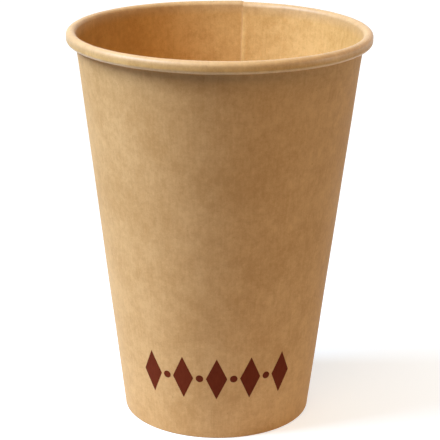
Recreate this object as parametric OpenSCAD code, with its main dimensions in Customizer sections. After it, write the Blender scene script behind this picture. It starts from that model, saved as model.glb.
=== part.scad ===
/* [Cup] */
// Outside diameter over the rolled rim, which takes the lid
rim_d = 80; // [70:0.5:95]
// Height from the foot to the top of the rim
cup_h = 105.5; // [85:0.5:140]
// Outside diameter of the side wall at the foot, before its corner is rounded
foot_d = 50.5; // [45:0.5:58]

/* [Board] */
// Thickness of the side wall's board
wall_t = 0.4; // [0.3:0.01:0.5]
// Thickness of the base's board
base_t = 0.4; // [0.3:0.01:0.5]
// Coating that seals one layer of board to the next at the foot
film = 0.01; // [0.01:0.005:0.05]

/* [Rolled rim] */
// Outside radius of the roll's upper bend
roll_r = 1.35; // [1.3:0.05:1.8]
// Straight drop between the roll's upper and lower bends, on its outside
roll_drop = 0.8; // [0.4:0.05:1]
// Air between one turn of the roll and the next
roll_gap = 0.05; // [0.02:0.01:0.1]
// Outside radius of the last bend, inside the roll
tail_r = 0.75; // [0.6:0.05:0.9]
// How far that last bend turns before the board's free edge, in degrees
tail_turn = 110; // [60:5:150]
// How far the two layers of the overlap turn under the rim, in degrees
lap_under_turn = 150; // [120:5:160]

/* [Side seam] */
// Direction of the edge that shows inside the cup, in degrees round from +X
seam_at = 80; // [40:1:85]
// Width of the overlap, in degrees round the cup
seam_turn = 11; // [8:1:14]
// Stretch where the covering layer comes back to the round, in degrees
ease_turn = 12; // [11:1:15]

/* [Foot] */
// Height of the base above the foot, to its underside
base_lift = 7; // [5:0.5:10]
// Outside radius of the bend between the base and its skirt
base_bend = 1; // [0.7:0.05:1.4]
// Height to which the folded end of the side wall reaches inside the skirt
hem_h = 5.4; // [3:0.1:6]

/* [Print] */
// Thickness of the ink
ink_t = 0.06; // [0.04:0.01:0.08]
// Height of the middle of the printed row above the foot
print_z = 18; // [14:0.5:40]
// Height of a printed lozenge
lozenge_h = 12; // [8:0.5:16]
// Width of a printed lozenge
lozenge_w = 5.6; // [4:0.2:6.4]
// Diameter of a printed dot
dot_d = 2; // [1.5:0.1:2.4]
// Distance from one lozenge to the next, round the wall
print_pitch = 9; // [9:0.25:12]
// Number of lozenges in the row
lozenges = 5; // [3:2:7]

/* [Hidden] */
$fn = 96;
board_colour = [0.74, 0.58, 0.40];
inside_colour = [0.70, 0.53, 0.34];
ink_colour = [0.38, 0.13, 0.10];
// Largest step along a bend of the board, in degrees
bend_step = 12;

// The side wall leans outwards by this angle, so that it runs straight into the roll's upper bend
run = rim_d / 2 - roll_r - foot_d / 2;
rise = cup_h - roll_r;
lean = atan2(run, rise) - asin((roll_r - wall_t) / norm([run, rise]));
// Direction along the wall and direction out of it, as [radius, height]
up = [sin(lean), cos(lean)];
out = [cos(lean), -sin(lean)];

// The skirt of the base stands between the wall and the folded hem
skirt_depth = wall_t + film;
hem_depth = skirt_depth + base_t + film;
base_top = base_lift + base_t;

// The overlap ends in these directions, and beyond it the covering layer follows a flatter arc
seam_from = seam_at - seam_turn;
ease_to = seam_at + ease_turn;
// That arc has its axis this far behind the cup's own. At the mouth it starts one board further
// out than the round wall, and it ends level with it
mouth_r = rim_d / 2 - 2 * roll_r;
ease_shift = wall_t * (2 * mouth_r + wall_t)
    / (2 * (mouth_r - (mouth_r + wall_t) * cos(ease_turn)));
// The eased layer stays this much proud, which keeps its faces apart from the round ones
ease_proud = 0.01;

// Radius, at a height, of the surface that lies a depth inside the wall's outer face
function at_depth(depth, z) = foot_d / 2 + z * tan(lean) - depth / cos(lean);
function on_surface(depth, z) = [at_depth(depth, z), z];

// Angle from one lozenge to the next
print_turn = print_pitch / at_depth(0, print_z) * 180 / PI;

// Points along an arc, both ends included
function arc(centre, r, from, to) =
    let (steps = ceil(abs(to - from) / bend_step))
    [for (i = [0:steps]) let (a = from + (to - from) * i / steps) centre + r * [cos(a), sin(a)]];

// Centre of an upper bend of outside radius r that carries on from the cup's inner face
function upper_centre(r) = [at_depth(wall_t, cup_h - r) + r / cos(lean), cup_h - r];
// Outside radius of the lower bend, which leaves the air gap to the wall beside it
function lower_r(r, t) = (r - t + r * cos(lean) + roll_drop * sin(lean) - roll_gap) / (1 + cos(lean));
function lower_centre(r, t) = upper_centre(r) + [r - lower_r(r, t), -roll_drop];

// The rolled rim of a sheet of thickness t: out along its outer side, round its end and back
function rolled_edge(r, t, under_turn, end = []) = concat(
    arc(upper_centre(r), r, 180 - lean, 0),
    arc(lower_centre(r, t), lower_r(r, t), 0, -under_turn),
    end,
    arc(lower_centre(r, t), lower_r(r, t) - t, -under_turn, 0),
    arc(upper_centre(r), r - t, 0, 180 - lean)
);

// The single sheet's roll ends in one more bend, turned up inside it
function tail_end() =
    let (centre = lower_centre(roll_r, wall_t) - [lower_r(roll_r, wall_t) - tail_r, 0])
    concat(
        arc(centre, tail_r, 180, 180 - tail_turn),
        arc(centre, tail_r - wall_t, 180 - tail_turn, 180)
    );
function single_roll() = rolled_edge(roll_r, wall_t, 180, tail_end());
function double_roll() = rolled_edge(roll_r + wall_t / 2, 2 * wall_t, lap_under_turn);

// The rounded corner where the wall's outer face turns in under the foot
function foot_corner(layers) = arc(on_surface(wall_t * (2 - layers), wall_t), wall_t, -lean, -90);

// The fold under the base's skirt, from the wall's outer face round the hem to the inner face
function folded_foot(layers) =
    let (
        hem_corner = on_surface(hem_depth + wall_t * (layers - 1), wall_t),
        hem_top = on_surface(hem_depth, wall_t) + (hem_h - wall_t) * up
    )
    concat(
        foot_corner(layers),
        arc(hem_corner, wall_t, 270, 180 - lean),
        [
            hem_top - layers * wall_t * out,
            hem_top,
            on_surface(hem_depth, wall_t),
            on_surface(wall_t, wall_t)
        ]
    );

// One sheet all the way up, round most of the cup
module single_sheet() {
    rotate_extrude(angle = 360 - seam_turn - ease_turn, start = ease_to)
        polygon(concat(single_roll(), folded_foot(1)));
}

// The overlap: the edge that shows inside lies under the one that shows outside
module overlap() {
    rotate_extrude(angle = seam_turn, start = seam_from)
        polygon(concat(double_roll(), folded_foot(2)));
}

// The covering layer beyond the overlap, on its flatter arc
module eased_sheet() {
    foot_in = at_depth(2 * wall_t, wall_t);
    margin = 2;
    intersection() {
        rotate_extrude(angle = ease_turn, start = seam_at)
            translate([0, -1]) square([rim_d, cup_h + 2]);
        translate(-ease_shift * [cos(ease_to), sin(ease_to), 0])
            rotate_extrude(angle = ease_turn + margin, start = seam_at)
                translate([ease_shift + ease_proud, 0])
                    polygon(concat(
                        single_roll(),
                        foot_corner(1),
                        [[foot_in, 0], [foot_in, wall_t], on_surface(wall_t, wall_t)]
                    ));
    }
}

// The fold under the eased sheet, with the wall behind it up to the base's top
module eased_foot() {
    rotate_extrude(angle = ease_turn, start = seam_at)
        polygon(concat(
            [on_surface(0, base_top)],
            folded_foot(1),
            [on_surface(wall_t, base_top)]
        ));
}

module side_wall() {
    color(board_colour) {
        single_sheet();
        overlap();
        eased_sheet();
        eased_foot();
    }
}

module base() {
    bend_c = on_surface(skirt_depth, base_top - base_bend) - base_bend * out;
    color(inside_colour)
        rotate_extrude()
            polygon(concat(
                [[0, base_top]],
                arc(bend_c, base_bend, 90, -lean),
                [on_surface(skirt_depth, skirt_depth), on_surface(skirt_depth + base_t, skirt_depth)],
                arc(bend_c, base_bend - base_t, -lean, 90),
                [[0, base_lift]]
            ));
}

// A thin layer of ink on the wall's outer face, where a shape in the middle of the row faces it
module inked(direction) {
    low = print_z - lozenge_h;
    high = print_z + lozenge_h;
    intersection() {
        rotate_extrude(angle = print_turn, start = direction - print_turn / 2)
            polygon([
                on_surface(-film, low),
                on_surface(-film - ink_t, low),
                on_surface(-film - ink_t, high),
                on_surface(-film, high)
            ]);
        rotate([90, 0, 90 + direction])
            translate([0, print_z, 0])
                linear_extrude(rim_d)
                    children();
    }
}

// A row of lozenges with a dot between each two, across the front of the cup
module printed_row() {
    front = 270;
    half_w = lozenge_w / 2;
    half_h = lozenge_h / 2;
    color(ink_colour) {
        for (i = [0:lozenges - 1])
            inked(front + (i - (lozenges - 1) / 2) * print_turn)
                polygon([[half_w, 0], [0, half_h], [-half_w, 0], [0, -half_h]]);
        for (i = [0:lozenges - 2])
            inked(front + (i - (lozenges - 2) / 2) * print_turn)
                circle(d = dot_d);
    }
}

side_wall();
base();
printed_row();
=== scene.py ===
"""Paper coffee cup: the visual model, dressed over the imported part, in metres."""
import logging
import math
from dataclasses import dataclass
from enum import Enum
from typing import ClassVar

import bpy
from mathutils import Matrix, Vector, kdtree


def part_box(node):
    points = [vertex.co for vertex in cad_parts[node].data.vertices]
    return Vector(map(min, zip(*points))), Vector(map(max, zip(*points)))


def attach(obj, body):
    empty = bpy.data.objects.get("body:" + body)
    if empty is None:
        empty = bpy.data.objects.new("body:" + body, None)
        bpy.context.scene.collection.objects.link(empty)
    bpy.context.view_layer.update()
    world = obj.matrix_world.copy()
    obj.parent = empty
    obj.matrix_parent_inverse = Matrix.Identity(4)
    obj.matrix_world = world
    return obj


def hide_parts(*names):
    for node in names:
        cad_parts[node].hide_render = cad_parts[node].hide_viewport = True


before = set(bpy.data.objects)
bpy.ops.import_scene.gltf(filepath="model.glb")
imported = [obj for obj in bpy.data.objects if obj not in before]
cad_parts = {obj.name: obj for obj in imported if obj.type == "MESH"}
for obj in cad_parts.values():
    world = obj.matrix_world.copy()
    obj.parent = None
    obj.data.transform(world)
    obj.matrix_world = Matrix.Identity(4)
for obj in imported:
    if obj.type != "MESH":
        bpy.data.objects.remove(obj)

log = logging.getLogger("paper_cup")

BODY = "root"

# Names of the sheet's map and of its attributes, which the board's material reads
SHEET_UV = "sheet"
# Marks where the roll's colour is darkened as painted shade
ROLL_SHADE = "rolled"
CROWN = "crown"

# Directions, in degrees round from +X. The side wall has one column of vertices a degree.
FULL_TURN = 360
FRONT = 270.0
UP = Vector((0, 0, 1))


def srgb(red: int, green: int, blue: int) -> tuple[float, float, float, float]:
    """Turns a colour as seen on a screen into the linear one that a shader takes.

    Args:
        red: Red, from 0 to 255.
        green: Green, from 0 to 255.
        blue: Blue, from 0 to 255.

    Returns:
        The linear colour, with an alpha of 1.
    """
    def linear(part: int) -> float:
        """Returns one part of the colour, made linear."""
        value = part / 255
        return value / 12.92 if value <= 0.04045 else ((value + 0.055) / 1.055) ** 2.4

    return (linear(red), linear(green), linear(blue), 1.0)


def ease(value: float) -> float:
    """Returns a value, kept from 0 to 1, on a curve that starts and ends gently."""
    kept = min(max(value, 0.0), 1.0)
    return kept * kept * (3 - 2 * kept)


def ramp(value: float, start: float, reach: float) -> float:
    """Returns 0 up to a start and 1 from a reach beyond it, with a gentle climb between."""
    return ease((value - start) / reach)


class Zone(Enum):
    """The stretches of the side wall's section, from the roll's free end to the hem's."""

    TAIL = "tail"
    ROLL = "roll"
    WALL = "wall"
    FOLD = "fold"
    HEM = "hem"


class BoardSide(Enum):
    """The sides of a sheet of board, by their places among its materials."""

    COATED = 0
    RAW = 1
    CUT = 2


@dataclass(frozen=True)
class Station:
    """One point of a section.

    Attributes:
        radius: Distance from the cup's axis.
        height: Height above the foot.
        zone: The stretch that the point belongs to.
    """

    radius: float
    height: float
    zone: Zone


@dataclass(frozen=True)
class CupSection:
    """The cup's sizes and the outline of its board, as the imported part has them.

    Attributes:
        rim_d: Outside diameter over the rolled rim.
        cup_h: Height to the top of the rim.
        axis: The cup's axis, where it meets the floor.
        foot_d: Outside diameter of the side wall at the foot.
        wall_t: Thickness of the side wall's board.
        base_t: Thickness of the base's board.
        film: Coating between one layer of board and the next.
        roll_r: Outside radius of the roll's upper bend.
        roll_drop: Straight drop between the roll's two bends.
        roll_gap: Air between the roll's lower bend and the wall.
        tail_r: Outside radius of the last bend, inside the roll.
        tail_turn: How far that last bend turns, in degrees.
        fold_r: Inside radius of the fold's corners.
        hem_h: Height of the folded hem's free edge.
        base_lift: Height of the base's underside.
        base_bend: Outside radius of the bend into the base's skirt.
        tail_step: Largest turn between two stations round the last bend, in degrees.
        lower_step: The same round the roll's lower bend.
        upper_step: The same round the roll's upper bend.
        fold_step: The same round the fold's corners.
        bend_step: The same round the bend into the base's skirt.
    """

    rim_d: float
    cup_h: float
    axis: Vector
    foot_d: float = 0.0505
    wall_t: float = 0.0004
    base_t: float = 0.0004
    film: float = 0.00001
    roll_r: float = 0.00135
    roll_drop: float = 0.0008
    roll_gap: float = 0.00005
    tail_r: float = 0.00075
    tail_turn: float = 110.0
    fold_r: float = 0.00006
    hem_h: float = 0.0054
    base_lift: float = 0.007
    base_bend: float = 0.001
    tail_step: float = 14.0
    lower_step: float = 10.0
    upper_step: float = 8.0
    fold_step: float = 21.0
    bend_step: float = 9.0

    @classmethod
    def from_frame(cls) -> "CupSection":
        """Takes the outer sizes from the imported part.

        Returns:
            The section, with its axis in the middle of the base.
        """
        low, high = (Vector(corner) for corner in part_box("side_wall"))
        base_low, base_high = (Vector(corner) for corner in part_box("base"))
        middle = (base_low + base_high) / 2
        return cls(
            rim_d=high.x - low.x,
            cup_h=high.z - low.z,
            axis=Vector((middle.x, middle.y, low.z)),
        )

    @property
    def lean(self) -> float:
        """Works out how far the side wall leans, as it runs from the foot into the roll.

        Returns:
            The angle by which it leans outwards, in radians.
        """
        run = self.rim_d / 2 - self.roll_r - self.foot_d / 2
        rise = self.cup_h - self.roll_r
        inner_r = self.roll_r - self.wall_t
        return math.atan2(run, rise) - math.asin(inner_r / math.hypot(run, rise))

    @property
    def bend_h(self) -> float:
        """Height of the middle of the roll's lower bend."""
        return self.cup_h - self.roll_r - self.roll_drop

    @property
    def skirt_depth(self) -> float:
        """Depth of the base's skirt inside the wall's outer face."""
        return self.wall_t + self.film

    @property
    def hem_depth(self) -> float:
        """Depth of the hem inside the wall's outer face."""
        return self.skirt_depth + self.base_t + self.film

    @property
    def layer_step(self) -> float:
        """How much further out, level with the floor, a covering layer lies."""
        return (self.wall_t + self.film) / math.cos(self.lean)

    def at_depth(self, depth: float, height: float) -> float:
        """Returns the radius, at a height, of the surface a depth inside the wall's outer face."""
        return self.foot_d / 2 + height * math.tan(self.lean) - depth / math.cos(self.lean)

    def place(self, radius: float, height: float, turn: float) -> Vector:
        """Returns the point at a radius, a height and a direction in degrees round from +X."""
        way = math.radians(turn)
        return self.axis + Vector((radius * math.cos(way), radius * math.sin(way), height))

    def arc(
        self, centre: tuple[float, float], radius: float, start: float, end: float,
        step: float, zone: Zone,
    ) -> list[Station]:
        """Lays stations along an arc.

        Args:
            centre: The arc's centre, as radius and height.
            radius: The arc's radius.
            start: Direction of the first station, in degrees.
            end: Direction of the last station, in degrees.
            step: Largest turn from one station to the next, in degrees.
            zone: The stretch that the stations belong to.

        Returns:
            The stations, both ends included.
        """
        count = math.ceil(abs(end - start) / step)
        turns = [math.radians(start + (end - start) * i / count) for i in range(count + 1)]
        return [
            Station(centre[0] + radius * math.cos(turn), centre[1] + radius * math.sin(turn), zone)
            for turn in turns
        ]

    def roll(self, doubled: float) -> list[Station]:
        """Lays the rolled rim's outer side, from its free end to the top of the wall.

        Args:
            doubled: 0 where the roll holds one layer of board, 1 where it holds two.

        Returns:
            The stations.
        """
        lean = self.lean
        radius = self.roll_r + doubled * self.wall_t / 2
        stack = self.wall_t * (1 + doubled)
        upper = (
            self.at_depth(self.wall_t, self.cup_h - radius) + radius / math.cos(lean),
            self.cup_h - radius,
        )
        lower_r = (
            radius - stack + radius * math.cos(lean) + self.roll_drop * math.sin(lean)
            - self.roll_gap
        ) / (1 + math.cos(lean))
        lower = (upper[0] + radius - lower_r, upper[1] - self.roll_drop)
        tail = (lower[0] - lower_r + self.tail_r, lower[1])
        return (
            self.arc(tail, self.tail_r, 180 - self.tail_turn, 180, self.tail_step, Zone.TAIL)
            + self.arc(lower, lower_r, -180, 0, self.lower_step, Zone.ROLL)[1:]
            + self.arc(upper, radius, 0, 180 - math.degrees(lean), self.upper_step, Zone.ROLL)
        )

    def sheet(
        self, doubled: float = 0.0, wall_steps: int = 40, hem_steps: int = 6,
    ) -> list[Station]:
        """Lays the sheet's inner side, from the roll's free end down to the hem's.

        Args:
            doubled: 0 where the roll holds one layer of board, 1 where it holds two.
            wall_steps: Steps down the straight wall.
            hem_steps: Steps up the hem.

        Returns:
            The stations.
        """
        lean = math.degrees(self.lean)
        roll = self.roll(doubled)
        floor = self.wall_t + self.fold_r
        wall = [
            Station(self.at_depth(self.wall_t, z), z, Zone.WALL)
            for z in (
                roll[-1].height + (floor - roll[-1].height) * i / wall_steps
                for i in range(1, wall_steps)
            )
        ]
        outer = (self.at_depth(self.wall_t + self.fold_r, floor), floor)
        inner = (self.at_depth(self.hem_depth - self.fold_r, floor), floor)
        hem = [
            Station(self.at_depth(self.hem_depth, z), z, Zone.HEM)
            for z in (
                floor + (self.hem_h - floor) * i / hem_steps for i in range(1, hem_steps + 1)
            )
        ]
        return (
            roll + wall
            + self.arc(outer, self.fold_r, -lean, -90, self.fold_step, Zone.FOLD)
            + self.arc(inner, self.fold_r, 270, 180 - lean, self.fold_step, Zone.FOLD)
            + hem
        )

    def base(self, rings: int = 14, skirt_steps: int = 5) -> list[Station]:
        """Lays the base's upper side, from its middle to the free edge of its skirt.

        Args:
            rings: Steps across the flat disc.
            skirt_steps: Steps down the skirt.

        Returns:
            The stations.
        """
        lean = math.degrees(self.lean)
        top = self.base_lift + self.base_t
        bend = (
            self.at_depth(self.skirt_depth, top - self.base_bend)
            - self.base_bend * math.cos(self.lean),
            top - self.base_bend,
        )
        disc = [Station(bend[0] * i / rings, top, Zone.WALL) for i in range(rings)]
        skirt_top = bend[1] - self.base_bend * math.sin(self.lean)
        low = self.skirt_depth
        skirt = [
            Station(self.at_depth(self.skirt_depth, z), z, Zone.HEM)
            for z in (
                skirt_top + (low - skirt_top) * i / skirt_steps
                for i in range(1, skirt_steps + 1)
            )
        ]
        corner = self.arc(bend, self.base_bend, 90, -lean, self.bend_step, Zone.FOLD)
        return disc + corner + skirt


class Bench:
    """Small steps of modelling that every piece shares."""

    @staticmethod
    def clear() -> None:
        """Leaves edit mode and deselects everything."""
        if bpy.context.object and bpy.context.object.mode != "OBJECT":
            bpy.ops.object.mode_set(mode="OBJECT")
        bpy.ops.object.select_all(action="DESELECT")

    @staticmethod
    def take(piece: bpy.types.Object) -> None:
        """Makes one piece the only selected and active object.

        Args:
            piece: The piece.
        """
        Bench.clear()
        piece.select_set(True)
        bpy.context.view_layer.objects.active = piece

    @staticmethod
    def edit(piece: bpy.types.Object, kind: str) -> None:
        """Opens a piece in edit mode.

        Args:
            piece: The piece.
            kind: What is selected there: VERT, EDGE or FACE.
        """
        Bench.take(piece)
        bpy.ops.object.mode_set(mode="EDIT")
        bpy.ops.mesh.select_mode(type=kind)

    @staticmethod
    def apply(piece: bpy.types.Object, kind: str, **settings: object) -> None:
        """Adds a modifier to a piece and applies it.

        Args:
            piece: The piece.
            kind: The modifier's type.
            **settings: The modifier's settings.
        """
        Bench.take(piece)
        modifier = piece.modifiers.new(kind.lower(), kind)
        for name, value in settings.items():
            setattr(modifier, name, value)
        bpy.ops.object.modifier_apply(modifier=modifier.name)

    @staticmethod
    def turned(
        name: str, points: list[Vector], steps: int, turn: float, axis: Vector,
    ) -> bpy.types.Object:
        """Draws a chain of edges and spins it clockwise round an upright axis.

        Args:
            name: Name of the new piece.
            points: The chain's points.
            steps: Number of steps of the spin.
            turn: The whole turn, in degrees.
            axis: A point on the axis.

        Returns:
            The piece, with one column of vertices for the chain and one for each step.
        """
        Bench.clear()
        bpy.ops.mesh.primitive_plane_add(location=(0, 0, 0))
        piece = bpy.context.active_object
        piece.name = name
        piece.data.name = name
        bpy.ops.object.mode_set(mode="EDIT")
        bpy.ops.mesh.select_mode(type="VERT")
        bpy.ops.mesh.select_all(action="SELECT")
        bpy.ops.mesh.merge(type="CENTER")
        bpy.ops.transform.translate(value=points[0])
        for here, there in zip(points, points[1:]):
            bpy.ops.mesh.extrude_vertices_move(TRANSFORM_OT_translate={"value": there - here})
        bpy.ops.object.mode_set(mode="OBJECT")
        Bench.edit(piece, "VERT")
        bpy.ops.mesh.select_all(action="SELECT")
        bpy.ops.mesh.spin(steps=steps, angle=math.radians(turn), center=axis, axis=UP)
        bpy.ops.object.mode_set(mode="OBJECT")
        return piece

    @staticmethod
    def face_towards(piece: bpy.types.Object, sample: Vector, way: Vector) -> None:
        """Flips every face of a sheet if the one nearest to a point faces away.

        Args:
            piece: The piece.
            sample: The point.
            way: The direction that the face there has to look in.
        """
        nearest = min(piece.data.polygons, key=lambda face: (face.center - sample).length)
        if nearest.normal.dot(way) < 0:
            Bench.edit(piece, "FACE")
            bpy.ops.mesh.select_all(action="SELECT")
            bpy.ops.mesh.flip_normals()
            bpy.ops.object.mode_set(mode="OBJECT")

    @staticmethod
    def coat(piece: bpy.types.Object, thickness: float) -> None:
        """Gives a sheet its thickness, its coated and its plain side, and its cut edges.

        Args:
            piece: The sheet, with its faces towards the coated side.
            thickness: The board's thickness.
        """
        for side in BoardSide:
            piece.data.materials.append(BOARD[side].shared())
        Bench.apply(
            piece, "SOLIDIFY", thickness=thickness, offset=-1.0, use_even_offset=True,
            use_quality_normals=True, material_offset=BoardSide.RAW.value,
            material_offset_rim=BoardSide.CUT.value,
        )

    @staticmethod
    def smooth(piece: bpy.types.Object, sharp: float = 40.0) -> None:
        """Shades a piece smooth, apart from edges sharper than an angle in degrees."""
        Bench.take(piece)
        bpy.ops.object.shade_smooth_by_angle(angle=math.radians(sharp))

    @staticmethod
    def clouds(name: str, grain: float) -> bpy.types.Texture:
        """Makes a cloud pattern for a Displace modifier.

        Args:
            name: The pattern's name.
            grain: Size of one cloud in metres.

        Returns:
            The pattern.
        """
        texture = bpy.data.textures.new(name, "CLOUDS")
        texture.noise_scale = grain
        texture.noise_depth = 1
        return texture


@dataclass(frozen=True)
class Grain:
    """One size of a noise pattern.

    Attributes:
        scale: How finely it is grained: repeats in a metre.
        detail: How many finer layers lie over it.
        roughness: How strong those layers are.
        stretch: Scale of the coordinates it is laid on. Less than 1 draws it out that way.
            None leaves it even.
    """

    scale: float
    detail: float = 2.0
    roughness: float = 0.5
    stretch: tuple[float, float, float] | None = None


class Shader:
    """Adds nodes to one material and links them.

    Attributes:
        BLEND_FACTOR: Place of a Mix node's factor among its inputs.
        BLEND_FIRST: Place of its first colour.
        BLEND_SECOND: Place of its second colour.
        BLEND_RESULT: Place of the blended colour among its outputs.
    """

    BLEND_FACTOR = 0
    BLEND_FIRST = 6
    BLEND_SECOND = 7
    BLEND_RESULT = 2

    def __init__(self, name: str) -> None:
        """Starts an empty material.

        Args:
            name: The material's name.
        """
        self.material = bpy.data.materials.new(name)
        self.material.use_nodes = True
        self.tree = self.material.node_tree
        self.tree.nodes.clear()

    def node(self, kind: str, **values: object) -> bpy.types.Node:
        """Adds a node.

        Args:
            kind: The node's type.
            **values: Its settings. A name that is an input's sets or links that input, with
                an underscore for each space.

        Returns:
            The node.
        """
        node = self.tree.nodes.new(kind)
        for name, value in values.items():
            if hasattr(node, name):
                setattr(node, name, value)
                continue
            socket = node.inputs[name.replace("_", " ")]
            self.feed(socket, value)
        return node

    def feed(self, socket: bpy.types.NodeSocket, value: object) -> None:
        """Links an output to a socket, or sets the socket to a plain value.

        Args:
            socket: The socket.
            value: The output or the value.
        """
        if isinstance(value, bpy.types.NodeSocket):
            self.tree.links.new(value, socket)
        else:
            socket.default_value = value

    def noise(self, coordinates: bpy.types.NodeSocket, grain: Grain) -> bpy.types.NodeSocket:
        """Adds a noise pattern.

        Args:
            coordinates: What it is laid on.
            grain: Its size.

        Returns:
            Its value, from 0 to 1.
        """
        if grain.stretch:
            drawn = self.node("ShaderNodeMapping", Vector=coordinates, Scale=grain.stretch)
            coordinates = drawn.outputs[0]
        return self.node(
            "ShaderNodeTexNoise", Vector=coordinates, Scale=grain.scale, Detail=grain.detail,
            Roughness=grain.roughness,
        ).outputs["Fac"]

    def maths(self, operation: str, first: object, second: object = 0.0) -> bpy.types.NodeSocket:
        """Adds a sum.

        Args:
            operation: The sum's kind.
            first: Its first value or output.
            second: Its second value or output.

        Returns:
            Its result.
        """
        node = self.tree.nodes.new("ShaderNodeMath")
        node.operation = operation
        self.feed(node.inputs[0], first)
        self.feed(node.inputs[1], second)
        return node.outputs[0]

    def spread(
        self, value: bpy.types.NodeSocket, low: float, high: float,
        from_low: float = 0.25, from_high: float = 0.75,
    ) -> bpy.types.NodeSocket:
        """Stretches a pattern's value over another range.

        Args:
            value: The pattern's value.
            low: Result at the range's low end.
            high: Result at its high end.
            from_low: The value's low end. Noise seldom goes below the usual one.
            from_high: The value's high end. Noise seldom goes above the usual one.

        Returns:
            The result, kept between low and high.
        """
        return self.node(
            "ShaderNodeMapRange", Value=value, From_Min=from_low, From_Max=from_high,
            To_Min=low, To_Max=high,
        ).outputs["Result"]

    def blend(
        self, factor: bpy.types.NodeSocket, first: object, second: object, mode: str = "MIX",
    ) -> bpy.types.NodeSocket:
        """Blends one colour into another.

        Args:
            factor: How much of the second colour comes in, from 0 to 1.
            first: The first colour or output.
            second: The second colour or output.
            mode: How the two are blended.

        Returns:
            The blended colour.
        """
        node = self.tree.nodes.new("ShaderNodeMix")
        node.data_type = "RGBA"
        node.blend_type = mode
        self.feed(node.inputs[self.BLEND_FACTOR], factor)
        self.feed(node.inputs[self.BLEND_FIRST], first)
        self.feed(node.inputs[self.BLEND_SECOND], second)
        return node.outputs[self.BLEND_RESULT]

    def finish(self, surface: bpy.types.NodeSocket) -> bpy.types.Material:
        """Links a surface to the output and returns the material."""
        self.node("ShaderNodeOutputMaterial", Surface=surface)
        return self.material


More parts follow.
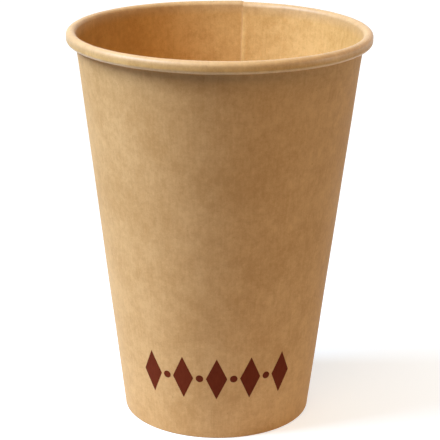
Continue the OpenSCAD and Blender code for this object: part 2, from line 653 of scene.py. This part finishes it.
@dataclass(frozen=True)
class BoardFinish:
    """Brown paper board: soft mottling, streaks up the cup, short fibres across and a few specks.

    Attributes:
        CLOUD, PATCH, SPOT, PULP: Grains of the mottling, from the widest to the finest.
        SPECK, STREAK, FIBRE: Grains of the specks, the streaks and the fibres.
        SPECK_RANGE: The noise values between which a speck comes in.
        TINT: How strongly a shade changes the red, the green and the blue.
        name: The material's name.
        colour: The board's own colour.
        roughness: Middle of its roughness.
        specular: How strongly it mirrors.
        mottle: Strength of the soft light and dark patches.
        fibre: Strength of the streaks and the fine spots.
        relief: Depth of the fibres in metres.
        coat: Strength of the clear coating's shine on the roll's top and on the outside of
            its lower bend, which the curling tool has polished.
        rolled: What is left of the colour on the roll, which is darkened there as painted shade.
        coat_roughness: Roughness of that coating.
        coat_ior: Index of refraction of that coating.
        roughness_span: How far the roughness strays from its middle.
        cloud_share: Share of the widest patches in the mottling.
        patch_share: Share of the smaller ones.
        speck_share: How much darker than the darkest patch a speck is.
        streak_relief: Height of the streaks, as a share of that of the fibres.
        patch_relief: Height of the patches, as a share of that of the fibres.
    """

    CLOUD: ClassVar[Grain] = Grain(70)
    PATCH: ClassVar[Grain] = Grain(330, 3, 0.6)
    SPOT: ClassVar[Grain] = Grain(950)
    PULP: ClassVar[Grain] = Grain(2600)
    SPECK: ClassVar[Grain] = Grain(1100, 3, 0.7)
    STREAK: ClassVar[Grain] = Grain(1500, 3, 0.6, stretch=(1.0, 0.12, 1.0))
    FIBRE: ClassVar[Grain] = Grain(5200, 3, 0.6, stretch=(0.3, 1.0, 1.0))
    SPECK_RANGE: ClassVar[tuple[float, float]] = (0.66, 0.74)
    TINT: ClassVar[tuple[float, float, float]] = (0.9, 1.2, 1.8)

    name: str
    colour: tuple[float, float, float, float]
    roughness: float
    specular: float
    mottle: float
    fibre: float
    relief: float
    coat: float = 0.0
    rolled: float = 1.0
    coat_roughness: float = 0.7
    coat_ior: float = 1.8
    roughness_span: float = 0.05
    cloud_share: float = 0.35
    patch_share: float = 0.4
    speck_share: float = 1.5
    streak_relief: float = 1.5
    patch_relief: float = 2.0

    def shade(self, amount: float) -> tuple[float, ...]:
        """Returns the board's colour made darker or lighter by a share, most in its blue."""
        parts = [part * (1 + weight * amount) for part, weight in zip(self.colour, self.TINT)]
        return (*parts, self.colour[3])

    def shared(self) -> bpy.types.Material:
        """Returns the finish's material, made once for all the pieces that have it."""
        return bpy.data.materials.get(self.name) or self.material()

    def tone(
        self, shader: Shader, place: bpy.types.NodeSocket, patch: bpy.types.NodeSocket,
        streak: bpy.types.NodeSocket,
    ) -> bpy.types.NodeSocket:
        """Sums up the patterns that make the board lighter and darker.

        Args:
            shader: The material's nodes.
            place: Coordinates of the patterns that are only used here.
            patch: The pattern of the smaller patches.
            streak: The pattern of the streaks.

        Returns:
            The sum, around 0.5.
        """
        cloud = shader.spread(shader.noise(place, self.CLOUD), -self.cloud_share, self.cloud_share)
        tone = shader.maths("ADD", cloud, 0.5)
        tone = shader.maths(
            "ADD", tone, shader.spread(patch, -self.patch_share, self.patch_share),
        )
        for pattern in (shader.noise(place, self.SPOT), streak, shader.noise(place, self.PULP)):
            tone = shader.maths("ADD", tone, shader.spread(pattern, -self.fibre, self.fibre))
        return tone

    def material(self) -> bpy.types.Material:
        """Makes the finish's material.

        Returns:
            The material.
        """
        shader = Shader(self.name)
        place = shader.node("ShaderNodeTexCoord").outputs["Object"]
        sheet = shader.node("ShaderNodeUVMap", uv_map=SHEET_UV).outputs["UV"]
        patch = shader.noise(place, self.PATCH)
        streak = shader.noise(sheet, self.STREAK)
        fibre = shader.noise(sheet, self.FIBRE)
        speck = shader.spread(shader.noise(place, self.SPECK), 0.0, 1.0, *self.SPECK_RANGE)
        tone = self.tone(shader, place, patch, streak)
        colour = shader.blend(tone, self.shade(-self.mottle), self.shade(self.mottle))
        colour = shader.blend(speck, colour, self.shade(-self.speck_share * self.mottle))
        # Painted shade: the colour is darkened on the roll and in the band just inside the rim
        roll_shade = shader.node("ShaderNodeAttribute", attribute_name=ROLL_SHADE).outputs["Fac"]
        colour = shader.blend(roll_shade, colour, (self.rolled,) * 3 + (1.0,), "MULTIPLY")
        rough = shader.spread(
            patch, self.roughness - self.roughness_span, self.roughness + self.roughness_span,
        )
        height = shader.maths("ADD", fibre, shader.maths("MULTIPLY", streak, self.streak_relief))
        height = shader.maths("ADD", height, shader.maths("MULTIPLY", patch, self.patch_relief))
        bump = shader.node("ShaderNodeBump", Strength=1.0, Distance=self.relief, Height=height)
        board = shader.node(
            "ShaderNodeBsdfPrincipled", Base_Color=colour, Roughness=rough,
            Normal=bump.outputs[0],
        )
        board.inputs["Specular IOR Level"].default_value = self.specular
        board.inputs["Coat Roughness"].default_value = self.coat_roughness
        board.inputs["Coat IOR"].default_value = self.coat_ior
        if self.coat:
            crown = shader.node("ShaderNodeAttribute", attribute_name=CROWN).outputs["Fac"]
            shader.feed(board.inputs["Coat Weight"], shader.maths("MULTIPLY", crown, self.coat))
        return shader.finish(board.outputs[0])


@dataclass(frozen=True)
class InkFinish:
    """Matt printing ink that lies thinly on the board, so its fibres show through.

    Attributes:
        FIBRE, PATCH: Grains of the fibres and of the worn patches.
        name: The material's name.
        colour: The ink's colour where it lies thick.
        thin: The ink's colour where the board's fibres stand up.
        roughness: Middle of its roughness.
        roughness_span: How far the roughness strays from its middle.
        specular: How strongly it mirrors.
        relief: Depth of the fibres in metres.
        worn_fibre: How far a fibre brings out the thin colour.
        worn_patch: How far a patch brings it out.
    """

    FIBRE: ClassVar[Grain] = Grain(2200, 3, 0.6, stretch=(1.0, 1.0, 0.2))
    PATCH: ClassVar[Grain] = Grain(500, 3, 0.6)

    name: str
    colour: tuple[float, float, float, float]
    thin: tuple[float, float, float, float]
    roughness: float
    roughness_span: float = 0.06
    specular: float = 0.05
    relief: float = 0.00002
    worn_fibre: float = 0.45
    worn_patch: float = 0.35

    def material(self) -> bpy.types.Material:
        """Makes the finish's material.

        Returns:
            The material.
        """
        shader = Shader(self.name)
        place = shader.node("ShaderNodeTexCoord").outputs["Object"]
        fibre = shader.noise(place, self.FIBRE)
        patch = shader.noise(place, self.PATCH)
        worn = shader.maths(
            "ADD", shader.spread(fibre, 0.0, self.worn_fibre),
            shader.spread(patch, 0.0, self.worn_patch),
        )
        colour = shader.blend(worn, self.colour, self.thin)
        rough = shader.spread(
            patch, self.roughness - self.roughness_span, self.roughness + self.roughness_span,
        )
        bump = shader.node("ShaderNodeBump", Strength=1.0, Distance=self.relief, Height=fibre)
        ink = shader.node(
            "ShaderNodeBsdfPrincipled", Base_Color=colour, Roughness=rough,
            Normal=bump.outputs[0],
        )
        ink.inputs["Specular IOR Level"].default_value = self.specular
        return shader.finish(ink.outputs[0])


# The coated side's rolled share darkens the roll as painted shade
BOARD = {
    BoardSide.COATED: BoardFinish(
        "board_coated", srgb(211, 160, 96), roughness=0.42, specular=0.2, mottle=0.13,
        fibre=0.24, relief=0.000006, coat=0.9, rolled=0.83,
    ),
    BoardSide.RAW: BoardFinish(
        "board_raw", srgb(207, 155, 99), roughness=0.6, specular=0.15, mottle=0.12,
        fibre=0.22, relief=0.00001,
    ),
    BoardSide.CUT: BoardFinish(
        "board_cut_edge", srgb(205, 168, 122), roughness=0.8, specular=0.3, mottle=0.06,
        fibre=0.5, relief=0.00001,
    ),
}
PRINT_INK = InkFinish("print_ink", srgb(96, 32, 11), srgb(116, 47, 24), roughness=0.7)


@dataclass
class SideWall:
    """The side wall: one sheet, wound round the cup, rolled at the rim and folded at the foot.

    Attributes:
        section: The cup's section.
        seam_at: Direction of the edge that shows inside, in degrees round from +X.
        seam_turn: Width of the overlap, in degrees.
        ease_turn: Stretch where the covering layer comes back to the round, in degrees.
        settle_turn: Stretch where the thicker roll comes back to the single one, in degrees.
        rise_turn: Stretch beside the seam where the covering layer's rim stands proud.
        seam_rise: How far that rim stands proud of the rest.
        lap_drop: How far the rim of the overlap lies below the rest.
        lift_reach: Height below the rim over which such a lift dies out.
        wave: Waviness of the wall.
        wave_grain: Size of one of the wall's waves.
        wave_rise: Height above the foot at which they start.
        wave_reach: Height over which they come in, and die out below the roll.
        ripple: Waviness of the roll.
        ripple_grain: Size of one of its ripples.
        ripple_drop: How far below the middle of the roll's lower bend the ripples start.
        ripple_reach: Height over which they come in.
        roll_shade_reach: Height over which the painted shade on the roll comes in, half of it
            below that middle.
        crown_drop: How far below the top of the rim its shine starts.
        crown_reach: Height over which that shine comes in.
        under_drop: How far below the middle of the lower bend the shine there starts.
        under_reach: Height over which that shine comes in.
        inner_stations: Stations from the fold's inner corner to the hem's free edge.
        knurl: Depth of the ridges that the curling wheel pressed into the hem.
        knurl_columns: Columns of the mesh from one such ridge to the next.
        edge_reach: How far round from seam_at the free edge that shows inside may lie.
        edge_press: How deep it is pressed.
        edge_fade: Height over which the press and the wander die out below the rim.
        edge_wander: How far it strays from a straight line.
        long_wander: Height in which the longer wave of its straying turns by a radian.
        short_wander: The same of the shorter wave.
        short_share: Strength of the shorter wave, as a share of the longer one's.
        short_start: How far the shorter wave has turned at the floor, in radians.
    """

    section: CupSection
    seam_at: float = 80.0
    seam_turn: int = 11
    ease_turn: int = 12
    settle_turn: float = 7.0
    rise_turn: float = 26.0
    seam_rise: float = 0.00015
    lap_drop: float = 0.0001
    lift_reach: float = 0.012
    wave: float = 0.00016
    wave_grain: float = 0.03
    wave_rise: float = 0.006
    wave_reach: float = 0.02
    ripple: float = 0.0001
    ripple_grain: float = 0.007
    ripple_drop: float = 0.008
    ripple_reach: float = 0.006
    roll_shade_reach: float = 0.002
    crown_drop: float = 0.0024
    crown_reach: float = 0.0014
    under_drop: float = 0.0002
    under_reach: float = 0.0005
    inner_stations: int = 12
    knurl: float = 0.00005
    knurl_columns: int = 3
    edge_reach: float = 0.3
    edge_press: float = 0.0003
    edge_fade: float = 0.003
    edge_wander: float = 0.00007
    long_wander: float = 0.0018
    short_wander: float = 0.00071
    short_share: float = 0.7
    short_start: float = 1.0

    def doubled(self, column: int) -> float:
        """Returns how far the roll is widened at a column, from 0 to 1."""
        return 1 - ramp(column, self.seam_turn, self.settle_turn)

    def outward(self, column: int) -> float:
        """Works out how far out a column's layer lies.

        Args:
            column: The column.

        Returns:
            How far out, from 0 to 1 board.
        """
        past = column - (FULL_TURN - self.ease_turn)
        if past <= 0:
            return 0.0
        return min((past / self.ease_turn) ** 2, 1.0)

    def lift(self, column: int) -> float:
        """Works out how far the rim is raised at a column.

        Args:
            column: The column.

        Returns:
            How far it is raised.
        """
        regular = -self.seam_rise
        if column >= FULL_TURN:
            return regular - self.lap_drop
        rise_start = FULL_TURN - self.rise_turn
        if column > rise_start:
            return regular + self.seam_rise * ramp(column, rise_start, self.rise_turn)
        return regular - self.lap_drop * self.doubled(column)

    def build(self) -> bpy.types.Object:
        """Winds, settles, thickens and smooths the sheet.

        Returns:
            The side wall.
        """
        stations = self.section.sheet()
        chain = [self.section.place(s.radius, s.height, self.seam_at) for s in stations]
        steps = FULL_TURN + self.seam_turn
        piece = Bench.turned("side_wall_sheet", chain, steps, steps, self.section.axis)
        rows = self.rows(piece, stations)
        self.settle(piece, stations, rows)
        self.lay_flat_map(piece, stations, rows)
        self.cut_hidden_folds(piece, stations, rows)
        height = self.section.cup_h / 2
        front = self.section.place(self.section.at_depth(0, height), height, FRONT)
        Bench.face_towards(piece, front, self.section.place(0, height, 0) - front)
        self.mark_roll(piece)
        self.ripple_board(piece)
        Bench.coat(piece, self.section.wall_t)
        self.press_edge(piece)
        Bench.smooth(piece)
        return piece

    def rows(self, piece: bpy.types.Object, stations: list[Station]) -> list[int]:
        """Finds each vertex's station.

        Args:
            piece: The sheet as it was spun.
            stations: The stations of its section.

        Returns:
            The number of the station for each vertex, in the mesh's order.
        """
        tree = kdtree.KDTree(len(stations))
        for number, station in enumerate(stations):
            tree.insert((station.radius, 0, station.height), number)
        tree.balance()
        rows = []
        for vertex in piece.data.vertices:
            spot = vertex.co - self.section.axis
            rows.append(tree.find((math.hypot(spot.x, spot.y), 0, spot.z))[1])
        return rows

    def settle(self, piece: bpy.types.Object, stations: list[Station], rows: list[int]) -> None:
        """Lays the overlap's two layers on each other, and sets the rim's height round the cup.

        Args:
            piece: The sheet.
            stations: The stations of its section.
            rows: Each vertex's station.
        """
        section = self.section
        widened = {
            column: section.sheet(self.doubled(column))
            for column in range(self.seam_turn + math.ceil(self.settle_turn) + 1)
        }
        for vertex in piece.data.vertices:
            column = vertex.index // len(stations)
            station = widened.get(column, stations)[rows[vertex.index]]
            radius, height = station.radius, station.height
            shift = section.layer_step * self.outward(column)
            inside = station.zone is Zone.HEM or (
                station.zone is Zone.FOLD and radius < section.at_depth(section.skirt_depth, 0)
                and rows[vertex.index] > len(stations) - self.inner_stations
            )
            radius += -shift if inside else shift
            if station.zone is Zone.HEM:
                radius -= self.knurl * (column % self.knurl_columns == 0)
            share = ramp(height, section.cup_h - self.lift_reach, self.lift_reach)
            height += self.lift(column) * share
            vertex.co = section.place(radius, height, self.seam_at - column)

    def lay_flat_map(
        self, piece: bpy.types.Object, stations: list[Station], rows: list[int],
    ) -> None:
        """Gives the sheet a map in metres, as it lay flat before it was wound.

        Args:
            piece: The sheet.
            stations: The stations of its section.
            rows: Each vertex's station.
        """
        lengths = [0.0]
        for here, there in zip(stations, stations[1:]):
            step = math.hypot(there.radius - here.radius, there.height - here.height)
            lengths.append(lengths[-1] + step)
        middle = self.section.at_depth(0, self.section.cup_h / 2)
        layer = piece.data.uv_layers.new(name=SHEET_UV)
        for loop in piece.data.loops:
            column = loop.vertex_index // len(stations)
            across = math.radians(column) * middle
            layer.data[loop.index].uv = (across, lengths[rows[loop.vertex_index]])

    def cut_hidden_folds(
        self, piece: bpy.types.Object, stations: list[Station], rows: list[int],
    ) -> None:
        """Cuts away what the overlap hides: the cover's roll, and the under layer's fold.

        Args:
            piece: The sheet.
            stations: The stations of its section.
            rows: Each vertex's station.
        """
        Bench.edit(piece, "FACE")
        bpy.ops.mesh.select_all(action="DESELECT")
        bpy.ops.object.mode_set(mode="OBJECT")
        for face in piece.data.polygons:
            columns = [v // len(stations) for v in face.vertices]
            zones = {stations[rows[v]].zone for v in face.vertices}
            if min(columns) >= FULL_TURN:
                face.select = bool(zones & {Zone.TAIL, Zone.ROLL}) and Zone.WALL not in zones
            elif max(columns) <= self.seam_turn:
                face.select = Zone.FOLD in zones
        Bench.edit(piece, "FACE")
        bpy.ops.mesh.delete(type="FACE")
        bpy.ops.object.mode_set(mode="OBJECT")

    def mark_roll(self, piece: bpy.types.Object) -> None:
        """Writes where painted shade darkens the roll, and where the roll is polished.

        Args:
            piece: The sheet.
        """
        section = self.section
        roll_shade = []
        crown = []
        for vertex in piece.data.vertices:
            spot = vertex.co - section.axis
            height = spot.z
            outside = math.hypot(spot.x, spot.y) > section.at_depth(0, height)
            # Painted shade: the roll is darkened from just below the middle of its lower bend
            # upwards
            start = section.bend_h - self.roll_shade_reach / 2
            roll_shade.append(ramp(height, start, self.roll_shade_reach))
            top = ramp(height, section.cup_h - self.crown_drop, self.crown_reach)
            under = ramp(section.bend_h - height, self.under_drop, self.under_reach)
            crown.append(max(top, outside * under))
        piece.data.attributes.new(ROLL_SHADE, "FLOAT", "POINT").data.foreach_set("value", roll_shade)
        piece.data.attributes.new(CROWN, "FLOAT", "POINT").data.foreach_set("value", crown)

    def ripple_board(self, piece: bpy.types.Object) -> None:
        """Gives the wall its slight waviness and the roll its smaller ripples.

        Args:
            piece: The sheet.
        """
        section = self.section
        wall = piece.vertex_groups.new(name="wall")
        roll = piece.vertex_groups.new(name="roll")
        for vertex in piece.data.vertices:
            height = vertex.co.z - section.axis.z
            low = ramp(height, self.wave_rise, self.wave_reach)
            high = ramp(section.bend_h - height, 0, self.wave_reach)
            wall.add([vertex.index], low * high, "REPLACE")
            start = section.bend_h - self.ripple_drop
            roll.add([vertex.index], ramp(height, start, self.ripple_reach), "REPLACE")
        Bench.apply(
            piece, "DISPLACE", texture=Bench.clouds("wall_waves", self.wave_grain),
            texture_coords="LOCAL", vertex_group="wall", strength=self.wave, mid_level=0.5,
        )
        # The ripples only go inwards, so that the roll keeps within its size
        Bench.apply(
            piece, "DISPLACE", texture=Bench.clouds("roll_ripples", self.ripple_grain),
            texture_coords="LOCAL", vertex_group="roll", strength=self.ripple, mid_level=1.0,
        )

    def press_edge(self, piece: bpy.types.Object) -> None:
        """Presses the free edge that shows inside down to the layer behind it.

        Args:
            piece: The side wall.
        """
        section = self.section
        cut_edge = {
            vertex
            for face in piece.data.polygons if face.material_index == BoardSide.CUT.value
            for vertex in face.vertices
        }
        top = section.cup_h - section.roll_r
        for number in cut_edge:
            vertex = piece.data.vertices[number]
            spot = vertex.co - section.axis
            turn = math.degrees(math.atan2(spot.y, spot.x))
            radius = math.hypot(spot.x, spot.y)
            depth = radius - section.at_depth(section.wall_t, spot.z)
            beside = abs(turn - self.seam_at) <= self.edge_reach
            if not (beside and section.base_lift < spot.z < top):
                continue
            front = depth < section.wall_t / 2
            share = ramp(top - spot.z, 0, self.edge_fade)
            wander = self.edge_wander * (
                math.sin(spot.z / self.long_wander)
                + self.short_share * math.sin(spot.z / self.short_wander + self.short_start)
            )
            turn += math.degrees(wander * share / radius)
            vertex.co = section.place(radius + self.edge_press * share * front, spot.z, turn)

    def dress(self, piece: bpy.types.Object) -> None:
        """Lets the side wall stand for its node.

        Args:
            piece: The side wall.
        """
        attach(piece, BODY)
        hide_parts("side_wall")


@dataclass
class Base:
    """The base: a disc with its edge bent down into a skirt, held in the side wall's fold.

    Attributes:
        section: The cup's section.
        steps: Steps of the spin.
        dish: How far the middle of the disc lies below its edge.
        dish_slope: How steeply the dish starts at the edge. At 1 it deepens all the way in.
        wave: Waviness of the disc.
        wave_grain: Size of one of its waves.
        weld: Distance within which two points are made one.
    """

    section: CupSection
    steps: int = 240
    dish: float = 0.00012
    dish_slope: float = 1.3
    wave: float = 0.00012
    wave_grain: float = 0.015
    weld: float = 0.000005

    def build(self) -> bpy.types.Object:
        """Turns, closes, thickens and smooths the base.

        Returns:
            The base.
        """
        stations = self.section.base()
        chain = [self.section.place(s.radius, s.height, 0) for s in stations]
        piece = Bench.turned("base_disc", chain, self.steps, FULL_TURN, self.section.axis)
        self.lay_round_map(piece)
        Bench.edit(piece, "VERT")
        bpy.ops.mesh.select_all(action="SELECT")
        bpy.ops.mesh.remove_doubles(threshold=self.weld)
        bpy.ops.object.mode_set(mode="OBJECT")
        top = self.section.base_lift + self.section.base_t
        Bench.face_towards(piece, self.section.place(self.section.foot_d / 4, top, 0), UP)
        self.sink_disc(piece)
        Bench.coat(piece, self.section.base_t)
        Bench.smooth(piece)
        return piece

    def lay_round_map(self, piece: bpy.types.Object) -> None:
        """Gives the base a flat map in metres, seen from above.

        Args:
            piece: The base.
        """
        layer = piece.data.uv_layers.new(name=SHEET_UV)
        for loop in piece.data.loops:
            spot = piece.data.vertices[loop.vertex_index].co - self.section.axis
            layer.data[loop.index].uv = (spot.x, spot.y - spot.z)

    def sink_disc(self, piece: bpy.types.Object) -> None:
        """Sinks the middle of the disc a little and makes it slightly wavy.

        Args:
            piece: The base.
        """
        section = self.section
        edge = section.at_depth(section.skirt_depth, section.base_lift) - 2 * section.base_bend
        disc = piece.vertex_groups.new(name="disc")
        for vertex in piece.data.vertices:
            spot = vertex.co - section.axis
            share = ease(self.dish_slope * (1 - math.hypot(spot.x, spot.y) / edge))
            vertex.co.z -= self.dish * share
            disc.add([vertex.index], share, "REPLACE")
        Bench.apply(
            piece, "DISPLACE", texture=Bench.clouds("disc_waves", self.wave_grain),
            texture_coords="LOCAL", vertex_group="disc", strength=self.wave, mid_level=0.5,
        )

    def dress(self, piece: bpy.types.Object) -> None:
        """Lets the base stand for its node.

        Args:
            piece: The base.
        """
        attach(piece, BODY)
        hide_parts("base")


class Motif(Enum):
    """The shapes of the printed row."""

    LOZENGE = "lozenge"
    DOT = "dot"


@dataclass
class PrintedRow:
    """The printed row: upright lozenges with a dot between each two, across the front.

    Attributes:
        section: The cup's section.
        middle: Height of the row's middle above the foot.
        lozenge_h: Height of a lozenge.
        lozenge_w: Width of a lozenge.
        dot_d: Diameter of a dot.
        pitch: Distance from one lozenge to the next, round the wall.
        lozenges: Number of lozenges.
        ink_t: Thickness of the ink.
        stand_off: How far in front of the wall a shape is cut, before it is laid on.
        lozenge_cuts: Cuts across a lozenge's sides, so that it follows the round wall.
        dot_points: Points round a dot.
        dot_rings: Rings inside a dot, for the same end.
    """

    section: CupSection
    middle: float = 0.018
    lozenge_h: float = 0.012
    lozenge_w: float = 0.0056
    dot_d: float = 0.002
    pitch: float = 0.009
    lozenges: int = 5
    ink_t: float = 0.00003
    stand_off: float = 0.004
    lozenge_cuts: int = 15
    dot_points: int = 32
    dot_rings: int = 3

    def build(self, wall: bpy.types.Object) -> bpy.types.Object:
        """Prints every shape onto the wall and joins them.

        Args:
            wall: The side wall.

        Returns:
            The row.
        """
        turn = math.degrees(self.pitch / self.section.at_depth(0, self.middle))
        shapes = []
        for number in range(2 * self.lozenges - 1):
            motif = Motif.DOT if number % 2 else Motif.LOZENGE
            way = FRONT + (number - self.lozenges + 1) * turn / 2
            shapes.append(self.print_shape(motif, way, wall))
        Bench.clear()
        for shape in shapes:
            shape.select_set(True)
        bpy.context.view_layer.objects.active = shapes[0]
        bpy.ops.object.join()
        row = bpy.context.active_object
        row.name = "printed_row_ink"
        row.data.name = row.name
        return row

    def print_shape(self, motif: Motif, way: float, wall: bpy.types.Object) -> bpy.types.Object:
        """Cuts one flat shape, lays it on the wall and gives the ink its thickness.

        Args:
            motif: Which shape.
            way: Direction that it faces, in degrees round from +X.
            wall: The side wall.

        Returns:
            The shape.
        """
        Bench.clear()
        start = self.section.at_depth(0, self.middle) + self.stand_off
        lozenge = motif is Motif.LOZENGE
        bpy.ops.mesh.primitive_circle_add(
            vertices=4 if lozenge else self.dot_points,
            radius=(self.lozenge_h if lozenge else self.dot_d) / 2,
            fill_type="NGON",
            location=self.section.place(start, self.middle, way),
            rotation=(math.radians(90), 0, math.radians(way + 90)),
        )
        shape = bpy.context.active_object
        shape.name = f"printed_{motif.value}"
        if lozenge:
            shape.scale.x = self.lozenge_w / self.lozenge_h
        bpy.ops.object.mode_set(mode="EDIT")
        if lozenge:
            bpy.ops.mesh.subdivide(number_cuts=self.lozenge_cuts)
        else:
            for ring in range(self.dot_rings):
                bpy.ops.mesh.inset(thickness=self.dot_d / 2 / (self.dot_rings + 1), depth=0)
            bpy.ops.mesh.poke()
        bpy.ops.object.mode_set(mode="OBJECT")
        bpy.ops.object.transform_apply(location=False, rotation=False, scale=True)
        Bench.apply(
            shape, "SHRINKWRAP", target=wall, wrap_method="PROJECT", use_project_x=False,
            use_project_y=False, use_project_z=True, use_negative_direction=True,
            use_positive_direction=False, offset=self.section.film,
        )
        Bench.apply(shape, "SOLIDIFY", thickness=self.ink_t, offset=1.0)
        bpy.ops.object.transform_apply(location=True, rotation=True, scale=True)
        Bench.smooth(shape)
        return shape

    def dress(self, row: bpy.types.Object) -> None:
        """Gives the row its ink.

        Args:
            row: The row.
        """
        row.data.materials.clear()
        row.data.materials.append(PRINT_INK.material())
        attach(row, BODY)
        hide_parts("printed_row")


@dataclass(frozen=True)
class Softbox:
    """A large soft lamp.

    Attributes:
        name: The lamp's name.
        azimuth: Direction it stands in, in degrees from the camera's side, to the right.
        elevation: Its height above the horizon, in degrees.
        power: Its power in watts.
        size: Its side.
        distance: How far from the cup it stands.
        colour: The colour of its light.
    """

    name: str
    azimuth: float
    elevation: float
    power: float
    size: float = 0.9
    distance: float = 1.2
    colour: tuple[float, float, float] = (1.0, 1.0, 1.0)

    def set_up(self, aim: Vector) -> None:
        """Adds the lamp, turned towards a point.

        Args:
            aim: The point.
        """
        Bench.clear()
        side, rise = math.radians(self.azimuth), math.radians(self.elevation)
        way = Vector((
            math.sin(side) * math.cos(rise), -math.cos(side) * math.cos(rise), math.sin(rise),
        ))
        bpy.ops.object.light_add(type="AREA", location=aim + way * self.distance)
        lamp = bpy.context.active_object
        lamp.name = self.name
        lamp.rotation_euler = way.to_track_quat("Z", "Y").to_euler()
        lamp.data.shape = "SQUARE"
        lamp.data.size = self.size
        lamp.data.energy = self.power
        lamp.data.color = self.colour
        lamp.visible_camera = False


LAMPS = (
    Softbox(
        "key_lamp", azimuth=-78, elevation=46, power=32.0, size=0.6, colour=(0.53, 0.74, 1.0),
    ),
    Softbox("front_lamp", azimuth=-4, elevation=60, power=8.0, colour=(1.0, 0.73, 0.4)),
    Softbox(
        "right_lamp", azimuth=84, elevation=0, power=6.6, size=0.2, colour=(0.93, 0.88, 0.76),
    ),
    Softbox("back_lamp", azimuth=180, elevation=50, power=2.0),
)


@dataclass
class Studio:
    """A pale floor, a white backdrop and soft lamps.

    Attributes:
        floor_size: Side of the floor.
        floor_shift: How far the floor's middle lies to the right of the cup.
        near_colour: The floor's own colour near the cup, which it lights from below.
        far_colour: The floor's own colour further away.
        near_glow: What the floor's white adds near the cup, as the camera sees it.
        far_glow: What it adds far away.
        near: Distance from the floor's middle up to which the near values hold.
        far: Distance from which the far values hold.
    """

    floor_size: float = 8.0
    floor_shift: float = -0.08
    near_colour: float = 0.72
    far_colour: float = 0.13
    near_glow: float = 0.5
    far_glow: float = 1.0
    near: float = 0.07
    far: float = 0.2

    @staticmethod
    def seen(tree: bpy.types.NodeTree) -> bpy.types.NodeSocket:
        """Tells the rays that see a surface from those that carry its light.

        Args:
            tree: The nodes of the material or the world.

        Returns:
            1 for rays from the camera, from gloss and through glass, and 0 for others.
        """
        path = tree.nodes.new("ShaderNodeLightPath")
        total = path.outputs["Is Camera Ray"]
        for name in ("Is Glossy Ray", "Is Transmission Ray"):
            add = tree.nodes.new("ShaderNodeMath")
            add.operation = "MAXIMUM"
            tree.links.new(total, add.inputs[0])
            tree.links.new(path.outputs[name], add.inputs[1])
            total = add.outputs[0]
        return total

    def lay_floor(self) -> bpy.types.Object:
        """Lays the floor, which shows white but keeps the cup's shadow.

        Returns:
            The floor.
        """
        Bench.clear()
        bpy.ops.mesh.primitive_plane_add(size=self.floor_size, location=(self.floor_shift, 0, 0))
        floor = bpy.context.active_object
        floor.name = "studio_floor"
        shader = Shader("studio_floor")
        place = shader.node("ShaderNodeTexCoord").outputs["Object"]
        length = shader.node("ShaderNodeVectorMath", operation="LENGTH", Vector=place)
        distance = length.outputs["Value"]
        colour = shader.spread(distance, self.near_colour, self.far_colour, self.near, self.far)
        matt = shader.node("ShaderNodeBsdfDiffuse", Color=colour, Roughness=0.0).outputs[0]
        glow = shader.spread(distance, self.near_glow, self.far_glow, self.near, self.far)
        glow = shader.maths("MULTIPLY", glow, self.seen(shader.tree))
        white = shader.node("ShaderNodeEmission", Strength=glow).outputs[0]
        both = shader.node("ShaderNodeAddShader")
        shader.feed(both.inputs[0], matt)
        shader.feed(both.inputs[1], white)
        under = shader.node("ShaderNodeNewGeometry").outputs["Backfacing"]
        clear = shader.node("ShaderNodeBsdfTransparent").outputs[0]
        mix = shader.node("ShaderNodeMixShader")
        shader.feed(mix.inputs[0], under)
        shader.feed(mix.inputs[1], both.outputs[0])
        shader.feed(mix.inputs[2], clear)
        floor.data.materials.append(shader.finish(mix.outputs[0]))
        return floor

    def hang_backdrop(self) -> None:
        """Makes the world white where it is seen, and no light on the cup."""
        world = bpy.data.worlds.new("studio_world")
        bpy.context.scene.world = world
        world.use_nodes = True
        tree = world.node_tree
        background = tree.nodes["Background"]
        background.inputs["Color"].default_value = (1, 1, 1, 1)
        tree.links.new(self.seen(tree), background.inputs["Strength"])

    def light(self, aim: Vector) -> None:
        """Sets up the lamps round a point.

        Args:
            aim: The point that they look at.
        """
        for lamp in LAMPS:
            lamp.set_up(aim)


@dataclass(frozen=True)
class PhotoCamera:
    """The camera, where the photograph was taken from.

    Attributes:
        place: Where it stands.
        pitch: How far it looks down, in degrees.
        roll: How far it is turned about its own line of sight, in degrees.
        lens: Its focal length in millimetres.
        sensor: Width of its sensor in millimetres.
        shift: How far the picture is shifted sideways, as a share of its width.
    """

    place: tuple[float, float, float] = (0.0, -0.4185, 0.19094)
    pitch: float = 18.268
    roll: float = 0.514
    lens: float = 133.38
    sensor: float = 36.0
    shift: float = 0.0045

    def set_up(self) -> None:
        """Adds the camera and makes it the scene's own."""
        Bench.clear()
        bpy.ops.object.camera_add(location=self.place)
        camera = bpy.context.active_object
        camera.name = "photo_camera"
        aim = Matrix.Rotation(math.radians(90 - self.pitch), 4, "X")
        aim = aim @ Matrix.Rotation(math.radians(self.roll), 4, "Z")
        camera.matrix_world = Matrix.Translation(self.place) @ aim
        camera.data.lens = self.lens
        camera.data.sensor_width = self.sensor
        camera.data.shift_x = self.shift
        bpy.context.scene.camera = camera


def report(piece: bpy.types.Object) -> None:
    """Reports a finished piece: its name and how many faces it has."""
    log.info("%s: %d faces", piece.name, len(piece.data.polygons))


def main() -> None:
    """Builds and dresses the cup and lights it."""
    logging.basicConfig(level=logging.INFO, format="%(name)s: %(message)s")
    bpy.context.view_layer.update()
    section = CupSection.from_frame()
    PhotoCamera().set_up()

    side_wall = SideWall(section)
    wall = side_wall.build()
    side_wall.dress(wall)
    report(wall)

    base = Base(section)
    disc = base.build()
    base.dress(disc)
    report(disc)

    printed = PrintedRow(section)
    row = printed.build(wall)
    printed.dress(row)
    report(row)

    studio = Studio()
    studio.lay_floor()
    studio.hang_backdrop()
    studio.light(section.place(0, section.cup_h / 2, 0))
    bpy.context.scene.view_settings.view_transform = "Standard"


if __name__ == "__main__":
    main()
